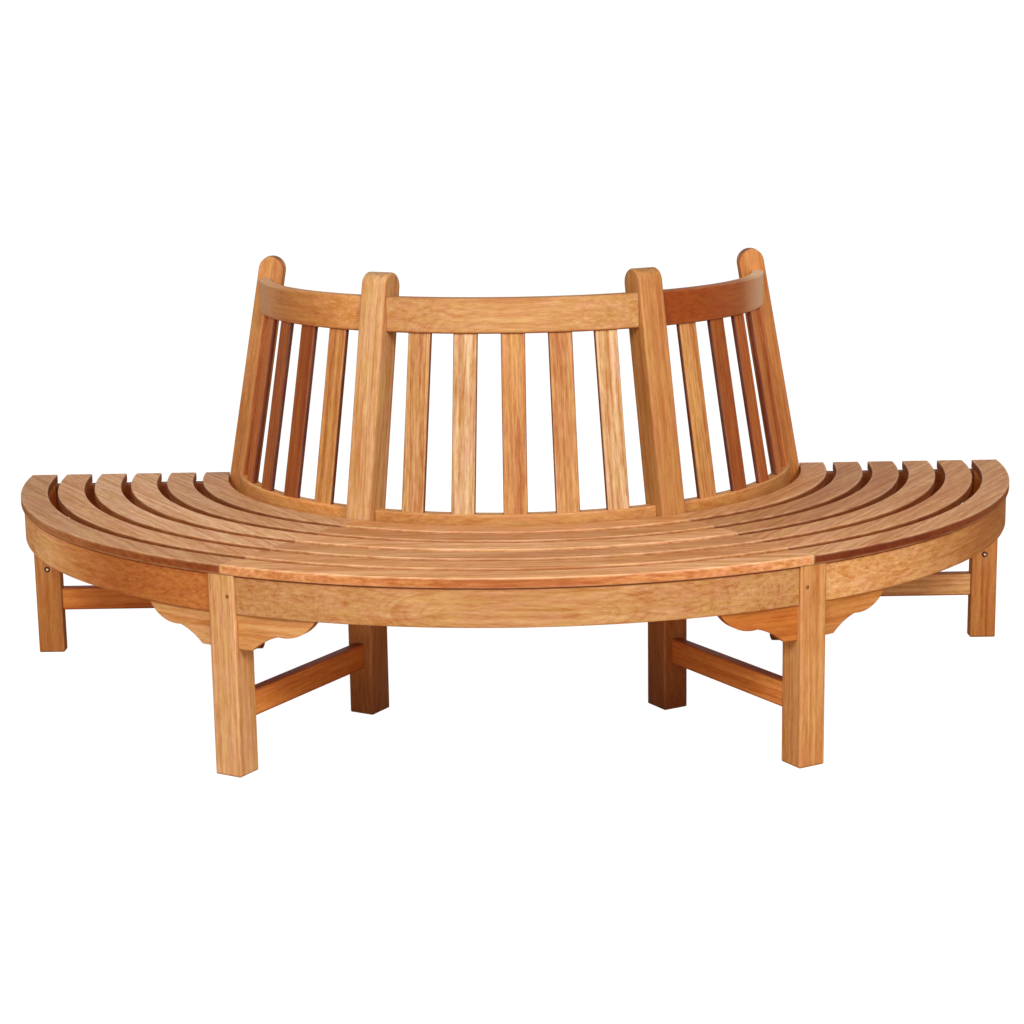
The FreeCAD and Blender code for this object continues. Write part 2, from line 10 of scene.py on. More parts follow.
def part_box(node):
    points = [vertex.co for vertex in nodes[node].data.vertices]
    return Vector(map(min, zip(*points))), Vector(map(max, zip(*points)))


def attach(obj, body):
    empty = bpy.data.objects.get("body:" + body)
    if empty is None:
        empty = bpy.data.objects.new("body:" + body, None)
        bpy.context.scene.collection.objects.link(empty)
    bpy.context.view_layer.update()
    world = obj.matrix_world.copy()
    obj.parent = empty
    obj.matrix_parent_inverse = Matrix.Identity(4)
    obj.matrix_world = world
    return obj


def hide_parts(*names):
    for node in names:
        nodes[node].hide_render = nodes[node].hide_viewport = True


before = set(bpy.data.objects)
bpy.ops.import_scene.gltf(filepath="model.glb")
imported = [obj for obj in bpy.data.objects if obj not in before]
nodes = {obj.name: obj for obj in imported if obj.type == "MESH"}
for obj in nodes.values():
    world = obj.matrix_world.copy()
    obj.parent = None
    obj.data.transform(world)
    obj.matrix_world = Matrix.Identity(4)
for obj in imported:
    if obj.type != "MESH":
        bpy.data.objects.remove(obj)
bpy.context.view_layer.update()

# A half-ring teak tree bench. Sizes are in metres and angles in degrees, measured round the ring
# from the middle of the front. The ring's centre is on the joining plane.
ring_centre = Vector((0.0, 0.570, 0.0))
up = Vector((0.0, 0.0, 1.0))

# Legs and posts
timber_width = 0.060
end_timber_width = 0.036
timber_round = 0.003
leg_depth = 0.060
leg_outer_face = 1.140
leg_foot_ease = 0.0027
leg_top_ease = 0.0003
post_round = 0.005
end_post_round = 0.004
post_outer_face = 0.672
post_depth = 0.066
post_crown_depth = 0.060
post_lean = 10.15
post_height = 0.932
post_knee = 0.402
post_knee_bend = 0.150

# Seat, aprons and rails
seat_underside = 0.404
seat_rings = 6
apron_bottom = 0.327
board_round = 0.002
rail_round = 0.003
slat_round = 0.0025
butt_ease = 0.0006
slat_joint = 0.0004
notch_face = 0.673
notch_half_width = 0.031

# Brackets
bracket_front = 1.126
bracket_thickness = 0.022
bracket_length = 0.170
bracket_drop = 0.070
bracket_toe = 0.030
bracket_shelf = (0.088, -0.0385)
bracket_hollow = 0.004
bracket_belly = 0.014
bracket_round = 0.0012
bracket_trim = 0.020

# Back slats
back_slat_count = 5
back_slat_width = 0.0505
back_slat_thickness = 0.010
back_slat_setback = 0.005
back_slat_housing = 0.012
back_slat_play = 0.002

# Pegs and nuts, and the bores that hold them
peg_diameter = 0.008
peg_from_joint = 0.014
peg_room = 0.0003
peg_sink = 0.0002
peg_ease = 0.0004
apron_peg_drop = 0.042
apron_peg_length = 0.019
apron_peg_bore = 0.030
rail_peg_drops = {"top_rail": 0.037, "bottom_rail": 0.020}
rail_peg_length = 0.011
rail_peg_bore = 0.022
nut_height = 0.203
nut_sleeve = 0.009
nut_bore = 0.060
# Where the painted shade round a nut's head begins and is full, from its axis
nut_rim = (0.0024, 0.0042)
bore_lead = 0.010
bore_sides = 24

# Meshes: the flat strip beside a rounding, the least radius that a corner closes to, the gap under
# which two points are one, the spacing of sections along a curved board and beside its notch, the
# bend that makes an edge sharp, and the bends between which an edge turns into an arris
margin = 0.0025
least_round = 0.0001
touching = 1e-6
board_step = 0.022
notch_step = 0.0002
sharp_bend = radians(50.0)
arris_bends = (0.12, 0.72)

Frame = namedtuple("Frame", "name angle low high")
Bay = namedtuple("Bay", "name start stop")
frames = [
    Frame("left_end", -90.0, 0.0, end_timber_width),
    Frame("mid_left", -30.0, -timber_width / 2, timber_width / 2),
    Frame("mid_right", 30.0, -timber_width / 2, timber_width / 2),
    Frame("right_end", 90.0, -end_timber_width, 0.0),
]
frame_names = [one.name for one in frames]
bay_names = ("left", "middle", "right")
bays = [Bay(name, *pair) for name, pair in zip(bay_names, zip(frames, frames[1:]))]
end_frames = (frames[0], frames[-1])
bracket_names = ("mid_left_left", "mid_left_middle", "mid_right_middle", "mid_right_right")
slat_numbers = range(1, seat_rings + 1)


def tones_and_light(kind, places, *finishes):
    """Brightness and warmth of pieces of a kind, partly their own tone and partly painted light, by the
    piece's name.
    """
    return {"%s_%s" % (kind, place): finish for place, finish in zip(places, finishes)}


# Each piece's brightness, in steps of 0.05, and its warmth from golden to red, in steps of 0.2: partly the
# tone of its board and partly painted light and shade, raised on pieces that lie in shade and lowered and
# reddened on pieces painted as shaded. A piece that isn't listed gets a small chance difference.
tone_and_light = {
    **tones_and_light("front_leg", frame_names, (0.9, 0.8), (1.0, -0.6), (0.9, 0.0), (0.9, 1.0)),
    **tones_and_light("stretcher", frame_names, (1.3, 1.4), (1.2, 1.0), (1.35, 0.6), (1.35, -0.6)),
    **tones_and_light("back_post", frame_names, (0.95, 0.4), (1.0, -0.6), (0.75, 0.6), (0.9, 1.0)),
    **tones_and_light("corner_bracket", bracket_names, (1.05, -0.4), (0.9, 0.0), (0.75, 1.8), (0.85, 0.8)),
    **tones_and_light("apron", bay_names, (1.45, -0.6), (0.75, -0.2), (1.1, -0.4)),
    **tones_and_light("top_rail", bay_names, (1.2, -0.2), (0.85, -0.2), (0.85, 1.8)),
    **tones_and_light("bottom_rail", bay_names, (1.2, 0.6), (0.85, 0.4), (0.95, 0.6)),
    **tones_and_light("back_slats_left", slat_numbers,
            (1.6, 0.6), (0.95, 2.4), (0.6, 2.8), (0.5, 3.2), (0.85, 0.6)),
    **tones_and_light("back_slats_middle", slat_numbers,
            (0.85, -0.2), (0.95, -1.0), (0.8, 0.4), (0.8, 0.2), (1.0, -1.0)),
    **tones_and_light("back_slats_right", slat_numbers,
            (0.85, 0.4), (0.55, 2.8), (0.7, 3.0), (0.95, 1.8), (1.2, 1.6)),
    **tones_and_light("seat_slat_left", slat_numbers,
            (1.0, -0.4), (1.0, -0.4), (1.2, -0.6), (1.15, -0.6), (1.05, -0.2), (0.85, 0.0)),
    **tones_and_light("seat_slat_middle", slat_numbers,
            (1.05, 0.2), (0.85, 0.4), (1.15, -0.4), (0.9, 0.0), (0.95, 0.2), (1.1, -0.2)),
    **tones_and_light("seat_slat_right", slat_numbers,
            (0.95, 0.2), (0.75, 0.4), (0.75, 0.6), (0.95, 0.0), (0.95, 0.2), (0.95, 0.0)),
}

# What chance settles: the finish of pieces that aren't listed, how far off the pith lay in the
# tree, and where along the trunk a piece was cut
chance = random.Random(15)
chance_brightness = (0.85, 1.1)
chance_warmth = (-0.1, 0.3)
pith_distance = (0.05, 0.11)
trunk_reach = 9.0

# Where the grain of legs, posts and brackets is counted from
leg_grain_height = 0.20
post_grain_middle = (0.60, 0.60)
bracket_grain_drop = 0.03

# How dark each part is painted, from 0 to 1: painted shade, a deep red-brown, on the seat's rim, the
# aprons, the top rails, the gaps between seat slats, the posts' sides, back arrises and feet, the back
# slats' sides and the stretchers near their posts. Along the seat's rim, the aprons and the top rails it
# is given from the start of a bay to its end, in even steps.
seat_rim_shade = {
    "left": (0.2, 0.2, 0.0, 0.42, 0.6),
    "middle": (0.05, 0.18, 0.36, 0.18, 0.0),
    "right": (0.97, 0.93, 0.62, 0.4, 0.3),
}
apron_shade = {
    "left": (0.0, 0.0, 0.0, 0.52, 0.43),
    "middle": (0.0, 0.0),
    "right": (0.0, 0.0, 0.26, 0.25, 0.2),
}
rail_shade = {
    "left": (0.0, 0.1, 0.25, 0.2, 0.0),
    "middle": (0.0, 0.0),
    "right": (0.5, 0.4, 0.3, 0.15, 0.0),
}
gap_shade = {"left": 0.55, "middle": 0.12, "right": 0.55}
post_side_shade = {"mid_left": 0.1}
post_arris_shade = 0.75
post_foot_shade = 0.5
slat_side_shade = {"back_slats_left_1": 0.5, "back_slats_right_5": 0.3}
stretcher_post_shade = 0.3

# Painted sheen on the top rails: a pale grey that stands for the reflection near their ends, in the same
# steps
rail_sheen = {
    "left": (0.5, 0.5, 0.05, 0.0, 0.0),
    "middle": (0.0, 0.0),
    "right": (0.0, 0.0, 0.05, 0.92, 0.92),
}

# Lines of painted shade along a board's edges, such as under the seat's overhang and under a rail: their
# width, the share of it that they fade over, how dark they are along a board's lower and upper edge, and
# how dark the joints at the ends of legs and seat slats are
edge_line = 0.004
edge_fade = 0.7
apron_edge_shade = (0.0, 1.0)
top_rail_edge_shade = (0.6, 0.2)
bottom_rail_edge_shade = (0.6, 0.0)
stretcher_edge_shade = (0.6, 0.7)
seam_fade = 0.6
leg_seam = 0.5
seat_seam = 0.1

# How squarely a face looks along a way to begin and to be a side, how squarely a post's back arris
# looks inwards where it is darkest, and how far below the knee its foot begins and is dark
side_facing = (0.35, 0.85)
arris_facing = 0.45
foot_depths = (0.03, 0.09)


def ramp(value, low, high):
    """From 0 to 1 as a value goes from low to high."""
    return min(1.0, max(0.0, (value - low) / (high - low)))


def outward(angle):
    return Vector((sin(radians(angle)), -cos(radians(angle)), 0.0))


def around(angle):
    return Vector((cos(radians(angle)), sin(radians(angle)), 0.0))


def beside_line(angle, radial, across, height):
    """A point given from one line of the ring."""
    return ring_centre + outward(angle) * radial + around(angle) * across + up * height


def ring_angle(radius, angle, across):
    return angle + degrees(asin(across / radius))


def frame_middle(one):
    return (one.low + one.high) / 2


def bay_ends(bay):
    """Both ends of a bay: the frame, its face there, and which way the bay lies from that face."""
    return [(bay.start, bay.start.high, 1), (bay.stop, bay.stop.low, -1)]


def post_face(height):
    return post_outer_face - max(0.0, height - post_knee) * tan(radians(post_lean))


def post_crown():
    """Middle of a post's round top, as (radial, height)."""
    height = post_height - post_crown_depth / 2
    return Vector((post_face(height) - post_crown_depth / 2 / cos(radians(post_lean)), height))


def post_inner_lean():
    """Lean of a post's inner face, which runs from the knee to touch the round top."""
    run = post_outer_face - post_depth - post_crown().x
    rise = post_crown().y - post_knee
    return degrees(atan2(run, rise) + asin(post_crown_depth / 2 / hypot(run, rise)))


# Spans read from the frame

def span(node, angle, measure):
    """Least and greatest of a measure over a node's vertices, taken from one line of the ring."""
    values = []
    for vertex in nodes[node].data.vertices:
        place = vertex.co - ring_centre
        values.append(measure(place, outward(angle), around(angle)))
    return min(values), max(values)


def ring_radius(place, out, along):
    return hypot(place.x, place.y)


# Outlines: lists of points that can each move in by an inset

Corner = namedtuple("Corner", "x y radius steps")


def eased_point(centre, normal, radius, miter):
    """A point of a convex corner, which slides towards the corner's middle and then inwards."""
    least = min(radius, least_round)

    def moved(inset):
        rest = radius - inset
        if rest >= least:
            return centre + normal * rest
        return centre + normal * least - miter * (least - rest)

    return moved


def hollow_point(centre, normal, radius):
    return lambda inset: centre - normal * (radius + inset)


def flat_point(place, miter):
    return lambda inset: place - miter * inset


def right_of(way):
    return Vector((way.y, -way.x))


def turned(way, angle):
    return Vector((way.x * cos(angle) - way.y * sin(angle), way.x * sin(angle) + way.y * cos(angle)))


def corner_points(corner, start, first, turn, miter):
    """Points round a convex or a hollow corner, from where its rounding starts."""
    side = 1.0 if turn > 0 else -1.0
    centre = start - first * (corner.radius * side)
    points = []
    for step in range(corner.steps + 1):
        normal = turned(first, turn * step / corner.steps)
        if turn > 0:
            points.append(eased_point(centre, normal, corner.radius, miter))
        else:
            points.append(hollow_point(centre, normal, corner.radius))
    return points


def outline(corners):
    """Anticlockwise outline with rounded corners and a margin line beside each rounding."""
    places = [Vector((corner.x, corner.y)) for corner in corners]
    count = len(corners)
    pieces = []
    for number, corner in enumerate(corners):
        place = places[number]
        way_in = (place - places[number - 1]).normalized()
        way_out = (places[(number + 1) % count] - place).normalized()
        turn = atan2(way_in.x * way_out.y - way_in.y * way_out.x, way_in.dot(way_out))
        first, last = right_of(way_in), right_of(way_out)
        miter = (first + last) / (1.0 + first.dot(last))
        reach, points = 0.0, [flat_point(place, miter)]
        if corner.steps:
            reach = corner.radius * tan(abs(turn) / 2)
            points = corner_points(corner, place - way_in * reach, first, turn, miter)
        start, stop = place - way_in * reach, place + way_out * reach
        pieces.append((start, stop, way_in, way_out, first, last, points))
    found = []
    room = 3 * margin
    for number, (start, stop, way_in, way_out, first, last, points) in enumerate(pieces):
        before = (start - pieces[number - 1][1]).length
        after = (pieces[(number + 1) % count][0] - stop).length
        rounded = corners[number].steps > 0
        if rounded and before > room:
            found.append(flat_point(start - way_in * margin, first))
        meets_next = after < touching
        found += points[:-1] if meets_next else points
        if rounded and after > room:
            found.append(flat_point(stop + way_out * margin, last))
    return found


def bar_outline(width, height, radius, steps=2):
    """Rectangular section with rounded arrises."""
    a, b = width / 2, height / 2
    return outline([Corner(x, y, radius, steps) for x, y in ((-a, -b), (a, -b), (a, b), (-a, b))])


def eased_stations(start, stop, ease_start, ease_stop, cuts=1, seam=1.0, steps=2):
    """Stations along a timber with rounded ends, as (place, inset, how dark a joint shows there)."""
    near, far = [], []
    for step in range(steps + 1):
        turn = radians(90.0 * step / steps)
        along, inset = 1.0 - cos(turn), 1.0 - sin(turn)
        mark = seam if step < steps else seam * seam_fade
        near.append((start + ease_start * along, ease_start * inset, mark))
        far.append((stop - ease_stop * along, ease_stop * inset, mark))
    near.append((start + ease_start + margin, 0.0, 0.0))
    far.append((stop - ease_stop - margin, 0.0, 0.0))
    low, high = near[-1][0], far[-1][0]
    middle = [(low + (high - low) * cut / cuts, 0.0, 0.0) for cut in range(1, cuts)]
    return near + middle + far[::-1]


# A piece is made of one or more lofted shells of teak

Shell = namedtuple("Shell", "outline stations place grain brightness warmth soaked bleached")


def loft(bm, shell, seam, number, owner):
    """Rings of points along a timber, closed with a flat face at each end."""
    def ring(place, inset, end):
        made = []
        for point in shell.outline:
            vertex = bm.verts.new(shell.place(*point(inset), place))
            vertex[seam] = end
            vertex[owner] = number
            made.append(vertex)
        return made

    stations = shell.stations
    first, last = stations[0], stations[-1]
    rings = [ring(first[0], first[1] + margin, 0.0)]
    rings += [ring(*station) for station in stations]
    rings.append(ring(last[0], last[1] + margin, 0.0))
    for near, far in zip(rings, rings[1:]):
        for a in range(len(near)):
            b = (a + 1) % len(near)
            bm.faces.new((near[a], near[b], far[b], far[a]))
    bm.faces.new(rings[0][::-1])
    bm.faces.new(rings[-1])


def put_in_scene(name, data):
    made = bpy.data.objects.new(name, data)
    bpy.context.scene.collection.objects.link(made)
    return made


def mesh_object(name, bm):
    mesh = bpy.data.meshes.new(name)
    bm.to_mesh(mesh)
    bm.free()
    return put_in_scene(name, mesh)


def cut_holes(board, cutters):
    """Bore holes through a board with round cutters."""
    for cutter in cutters:
        bore = board.modifiers.new("bore", "BOOLEAN")
        bore.operation = "DIFFERENCE"
        bore.solver = "EXACT"
        bore.object = cutter
    bpy.context.view_layer.update()
    drawn = board.evaluated_get(bpy.context.evaluated_depsgraph_get())
    bored = bpy.data.meshes.new_from_object(drawn)
    board.modifiers.clear()
    board.data = bored
    for cutter in cutters:
        bpy.data.objects.remove(cutter)


def bore_cutter(start, way, diameter, length):
    bm = bmesh.new()
    turn = up.rotation_difference(way).to_matrix().to_4x4()
    place = Matrix.Translation(start + way * (length / 2)) @ turn
    bmesh.ops.create_cone(bm, cap_ends=True, segments=bore_sides, radius1=diameter / 2,
                          radius2=diameter / 2, depth=length, matrix=place)
    return mesh_object("cutter", bm)


def write_attribute(mesh, name, kind, values):
    layer = mesh.attributes.new(name, kind, "POINT")
    key = "vector" if kind == "FLOAT_VECTOR" else "value"
    layer.data.foreach_set(key, values)


def dress(mesh, shells):
    """Store what the finish needs at each point: grain, arrises, end grain, painted shade, painted sheen
    and so on.
    """
    bm = bmesh.new()
    bm.from_mesh(mesh)
    bm.verts.ensure_lookup_table()
    owner = bm.verts.layers.int.get("shell")
    grain = []
    marks = {name: [] for name in ("arris", "end_grain", "brightness", "warmth", "soaked", "bleached")}
    for vertex in bm.verts:
        shell = shells[vertex[owner]] if owner else shells[0]
        grain.extend(shell.grain.at(vertex.co))
        bend = max((edge.calc_face_angle(0.0) for edge in vertex.link_edges), default=0.0)
        marks["arris"].append(ramp(bend, *arris_bends))
        marks["end_grain"].append(abs(vertex.normal.dot(shell.grain.along)))
        marks["brightness"].append(shell.brightness)
        marks["warmth"].append(shell.warmth)
        marks["soaked"].append(shell.soaked(vertex.co, vertex.normal) if shell.soaked else 0.0)
        marks["bleached"].append(shell.bleached(vertex.co) if shell.bleached else 0.0)
    for edge in bm.edges:
        if edge.calc_face_angle(0.0) > sharp_bend:
            edge.smooth = False
    bm.to_mesh(mesh)
    bm.free()
    write_attribute(mesh, "grain", "FLOAT_VECTOR", grain)
    for name, values in marks.items():
        write_attribute(mesh, name, "FLOAT", values)


class Grain:
    """Straight grain of the board that a piece was sawn from, with its pith some way off."""

    def __init__(self, along, across, middle):
        self.along = along
        self.across = across
        self.through = along.cross(across)
        self.middle = self.local(middle)
        turn = radians(chance.uniform(0.0, 360.0))
        far = chance.uniform(*pith_distance)
        cut_at = chance.uniform(-trunk_reach, trunk_reach)
        self.shift = Vector((cut_at, far * cos(turn), far * sin(turn)))

    def local(self, place):
        near = place - ring_centre
        return Vector((near.dot(self.along), near.dot(self.across), near.dot(self.through)))

    def at(self, place):
        """Place in the tree, along its trunk and from its pith."""
        return self.local(place) - self.middle + self.shift


def tone_and_light_finish(name):
    by_chance = (chance.uniform(*chance_brightness), chance.uniform(*chance_warmth))
    return tone_and_light.get(name, by_chance)


def teak_piece(node, shells, material, holes=()):
    """Make one piece of teak in place of a CAD node."""
    bm = bmesh.new()
    seam = bm.verts.layers.float.new("seam")
    owner = bm.verts.layers.int.new("shell")
    for number, shell in enumerate(shells):
        loft(bm, shell, seam, number, owner)
    bmesh.ops.recalc_face_normals(bm, faces=bm.faces)
    for face in bm.faces:
        face.smooth = True
    piece = mesh_object("teak_" + node, bm)
    if holes:
        cut_holes(piece, holes)
    dress(piece.data, shells)
    piece.data.materials.clear()
    piece.data.materials.append(material)
    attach(piece, "root")
    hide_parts(node)
    return piece


# Shader nodes

def feed(tree, node, inputs):
    """Give a node's inputs their values, or join them to other nodes' outputs."""
    for key, value in inputs.items():
        if isinstance(value, bpy.types.NodeSocket):
            tree.links.new(value, node.inputs[key])
        else:
            node.inputs[key].default_value = value


def add(tree, kind, inputs=None, **settings):
    """Add a node, set it up and feed its inputs."""
    made = tree.nodes.new("ShaderNode" + kind)
    for key, value in settings.items():
        setattr(made, key, value)
    feed(tree, made, inputs or {})
    return made


def maths(tree, operation, *values, clamp=False):
    return add(tree, "Math", dict(enumerate(values)), operation=operation, use_clamp=clamp).outputs[0]


def vector_maths(tree, operation, *values):
    result = 1 if operation == "LENGTH" else 0
    return add(tree, "VectorMath", dict(enumerate(values)), operation=operation).outputs[result]


def blended(tree, share, first, second, blend="MIX"):
    inputs = {0: share, 6: first, 7: second}
    return add(tree, "Mix", inputs, data_type="RGBA", blend_type=blend).outputs[2]


def ranged(tree, value, low, high, to_low=0.0, to_high=1.0):
    inputs = {0: value, 1: low, 2: high, 3: to_low, 4: to_high}
    return add(tree, "MapRange", inputs, interpolation_type="LINEAR").outputs[0]


def noise(tree, vector, scale, detail=2.0, roughness=0.5, output=0):
    inputs = {"Vector": vector, "Scale": scale, "Detail": detail, "Roughness": roughness}
    return add(tree, "TexNoise", inputs, noise_dimensions="3D").outputs[output]


def stretched(tree, vector, along, across):
    return vector_maths(tree, "MULTIPLY", vector, (along, across, across))


def attribute(tree, name, output="Fac"):
    return add(tree, "Attribute", attribute_name=name).outputs[output]


def node_group(name, inputs, outputs):
    """A shader group with named inputs, as (name, kind, default), and named outputs."""
    group = bpy.data.node_groups.new(name, "ShaderNodeTree")
    for label, kind, default in inputs:
        socket = group.interface.new_socket(label, in_out="INPUT", socket_type="NodeSocket" + kind)
        if default is not None:
            socket.default_value = default
    for label, kind in outputs:
        group.interface.new_socket(label, in_out="OUTPUT", socket_type="NodeSocket" + kind)
    return group, group.nodes.new("NodeGroupInput").outputs, group.nodes.new("NodeGroupOutput")


def use_group(tree, group, inputs):
    return add(tree, "Group", inputs, node_tree=group).outputs


def paint(red, green, blue):
    """A colour given as it looks on a screen, from 0 to 255, as a shader takes it."""
    shares = [part / 255 for part in (red, green, blue)]
    linear = [((share + 0.055) / 1.055) ** 2.4 if share > 0.04045 else share / 12.92 for share in shares]
    return (*linear, 1.0)


# Paler arris colour: partly rubbed wear, partly a painted highlight
rubbed_wood = paint(246, 208, 164)
# Pale grey of the painted sheen on the top rails
painted_sheen_wood = paint(242, 202, 162)
joint_dust = paint(92, 46, 18)
# Deep brown of the painted shade round a nut's head
rim_edge_shade = paint(84, 44, 26)

# Marks that the tint takes in, with what each is on plain wood: those that the figure puts out, and
# those that belong to the piece
figure_marks = {
    "Rings": 0.0, "Streaks": 0.5, "Flecks": 0.5, "Fibres": 0.5, "Pores": 0.0, "Mottle": 0.5, "Drift": 0.5,
}
piece_marks = {"End Grain": 0.0, "Brightness": 1.0, "Warmth": 0.0, "Soaked": 0.0, "Bleached": 0.0}


def make_teak_figure():
    """Growth rings, streaks, flecks, fibres, pores and slow changes of teak, along its grain."""
    group, given, result = node_group(
        "teak_figure",
        [("Grain", "Vector", None), ("Ring Spacing", "Float", 0.004)],
        [(name, "Float") for name in (*figure_marks, "Height")])
    slow = noise(group, stretched(group, given["Grain"], 2.2, 9.0), 1.0, 1.5, output=1)
    bend = vector_maths(group, "SUBTRACT", slow, (0.5, 0.5, 0.5))
    bend = vector_maths(group, "MULTIPLY", bend, (0.0, 0.016, 0.016))
    wavy = vector_maths(group, "ADD", given["Grain"], bend)

    def grained(along, across, *details):
        return noise(group, stretched(group, wavy, along, across), 1.0, *details)

    parts = add(group, "SeparateXYZ", {0: wavy}).outputs
    flat = add(group, "CombineXYZ", {1: parts[1], 2: parts[2]}).outputs[0]
    distance = vector_maths(group, "LENGTH", flat)
    seasons = noise(group, add(group, "CombineXYZ", {0: distance}).outputs[0], 70.0, 2.0)
    years = maths(group, "DIVIDE", distance, given["Ring Spacing"])
    years = maths(group, "MULTIPLY_ADD", seasons, 5.0, years)
    late = maths(group, "POWER", maths(group, "FRACT", years), 3.0)
    strength = ranged(group, grained(2.0, 60.0), 0.35, 0.65)
    fine = grained(22.0, 900.0, 2.0, 0.6)
    vessels = ranged(group, grained(70.0, 1500.0, 0.0), 0.66, 0.74)
    aside = vector_maths(group, "ADD", wavy, (3.0, 1.0, 2.0))
    slow_hue = noise(group, stretched(group, aside, 12.0, 70.0), 1.0, 2.0)
    marks = {
        "Rings": maths(group, "MULTIPLY", late, strength),
        "Streaks": ranged(group, grained(2.2, 120.0, 4.0, 0.65), 0.32, 0.68),
        "Flecks": ranged(group, grained(26.0, 190.0, 2.0, 0.6), 0.3, 0.7),
        "Fibres": ranged(group, fine, 0.3, 0.7),
        "Pores": vessels,
        "Mottle": ranged(group, grained(3.5, 22.0, 2.0, 0.5), 0.3, 0.7),
        "Drift": ranged(group, slow_hue, 0.3, 0.7),
        "Height": maths(group, "MULTIPLY_ADD", vessels, -1.0, fine),
    }
    feed(group, result, marks)
    return group


def make_teak_tint():
    """Colour of teak from its figure, its end grain, its piece's brightness and warmth, and its painted
    shade and painted sheen.
    """
    usual = {"Contrast": 1.0, **figure_marks, **piece_marks}
    group, given, result = node_group(
        "teak_tint",
        [("Pale", "Color", paint(226, 172, 122)), ("Deep", "Color", paint(196, 124, 66)),
         *((name, "Float", value) for name, value in usual.items())],
        [("Colour", "Color")])
    depth = 0.0
    for name, share in (("Streaks", 0.5), ("Flecks", 0.3), ("Mottle", 0.2)):
        depth = maths(group, "MULTIPLY_ADD", given[name], share, depth)
    depth = maths(group, "MULTIPLY_ADD", maths(group, "SUBTRACT", depth, 0.5), given["Contrast"], 0.5)
    depth = maths(group, "MULTIPLY_ADD", given["Rings"], 0.35, depth, clamp=True)
    colour = blended(group, depth, given["Pale"], given["Deep"])
    hue = blended(group, given["Drift"], (0.98, 1.03, 0.86, 1.0), (1.02, 0.97, 1.14, 1.0))
    warm = add(group, "Gamma", {0: (1.0, 0.80, 0.55, 1.0), 1: given["Warmth"]}).outputs[0]
    shade = maths(group, "MULTIPLY_ADD", maths(group, "SUBTRACT", given["Fibres"], 0.5), 0.16, 1.0)
    shade = maths(group, "MULTIPLY_ADD", given["Pores"], -0.22, shade)
    cut = ranged(group, given["End Grain"], 0.55, 0.95)
    shade = maths(group, "MULTIPLY_ADD", cut, -0.3, shade)
    shade = maths(group, "MULTIPLY", given["Brightness"], shade)
    grey = add(group, "CombineColor", {0: shade, 1: shade, 2: shade}).outputs[0]
    # Painted shade: a deep red-brown, deeper as the shade mark rises
    shade_tint = add(group, "Gamma", {0: (0.25, 0.085, 0.022, 1.0), 1: given["Soaked"]}).outputs[0]
    for layer in (hue, warm, grey, shade_tint):
        colour = blended(group, 1.0, colour, layer, "MULTIPLY")
    # Painted sheen: a pale grey over the colour, where the piece carries it
    feed(group, result, {"Colour": blended(group, given["Bleached"], colour, painted_sheen_wood)})
    return group


def make_arris_wear_and_highlight():
    """Paler arrises, partly rubbed wear and partly painted highlight, and a dark line where a board's end
    meets its neighbour.
    """
    group, given, result = node_group(
        "arris_wear",
        [("Colour", "Color", (0.5, 0.3, 0.15, 1.0)), ("Arris", "Float", 0.0), ("Seam", "Float", 0.0),
         ("Grain", "Vector", None), ("Rubbed", "Float", 0.35), ("Roughness", "Float", 0.5)],
        [("Colour", "Color"), ("Roughness", "Float")])
    patches = noise(group, stretched(group, given["Grain"], 12.0, 60.0), 1.0, 3.0)
    patches = ranged(group, patches, 0.35, 0.6, 0.3, 1.0)
    rubbed = maths(group, "MULTIPLY", maths(group, "MULTIPLY", given["Arris"], patches), given["Rubbed"])
    rubbed = maths(group, "MULTIPLY", rubbed, maths(group, "SUBTRACT", 1.0, given["Seam"]))
    colour = blended(group, rubbed, given["Colour"], rubbed_wood)
    colour = blended(group, maths(group, "MULTIPLY", given["Seam"], 0.75), colour, joint_dust)
    rough = maths(group, "MULTIPLY_ADD", rubbed, -0.2, given["Roughness"])
    feed(group, result, {"Colour": colour, "Roughness": rough})
    return group


teak_figure = make_teak_figure()
teak_tint = make_teak_tint()
arris_wear = make_arris_wear_and_highlight()


def blank_tree(owner):
    """The node tree of a material or of the world, emptied."""
    owner.use_nodes = True
    owner.node_tree.nodes.clear()
    return owner.node_tree


def new_material(name):
    material = bpy.data.materials.new(name)
    tree = blank_tree(material)
    surface = add(tree, "BsdfPrincipled")
    add(tree, "OutputMaterial", {"Surface": surface.outputs[0]})
    return material, tree, surface


def teak_surface(tree, surface, grain, pale, deep, marks, edges, spacing=0.004, contrast=1.0, rubbed=0.35):
    """Oiled and sanded teak on a Principled surface, with the marks and edges of its piece."""
    figure = use_group(tree, teak_figure, {"Grain": grain, "Ring Spacing": spacing})
    tint = use_group(tree, teak_tint, {
        "Pale": pale, "Deep": deep, "Contrast": contrast, **{name: figure[name] for name in figure_marks},
        **marks})
    rough = ranged(tree, figure["Fibres"], 0.0, 1.0, 0.48, 0.62)
    worn_and_lit = use_group(tree, arris_wear, {
        "Colour": tint["Colour"], "Grain": grain, "Rubbed": rubbed, "Roughness": rough, **edges})
    bump = add(tree, "Bump", {"Height": figure["Height"], "Strength": 0.35, "Distance": 0.0004})
    feed(tree, surface, {
        "Base Color": worn_and_lit["Colour"], "Roughness": worn_and_lit["Roughness"], "Specular IOR Level": 0.35,
        "Normal": bump.outputs[0]})


def carried(tree, names):
    """What a mesh carries for each of these inputs."""
    return {name: attribute(tree, name.lower().replace(" ", "_")) for name in names}


def teak_board_material(name, pale, deep, **choices):
    """Teak for the pieces made here, which carry their grain, marks and edges with them."""
    material, tree, surface = new_material(name)
    grain = attribute(tree, "grain", "Vector")
    marks, edges = carried(tree, piece_marks), carried(tree, ("Arris", "Seam"))
    teak_surface(tree, surface, grain, pale, deep, marks, edges, **choices)
    return material


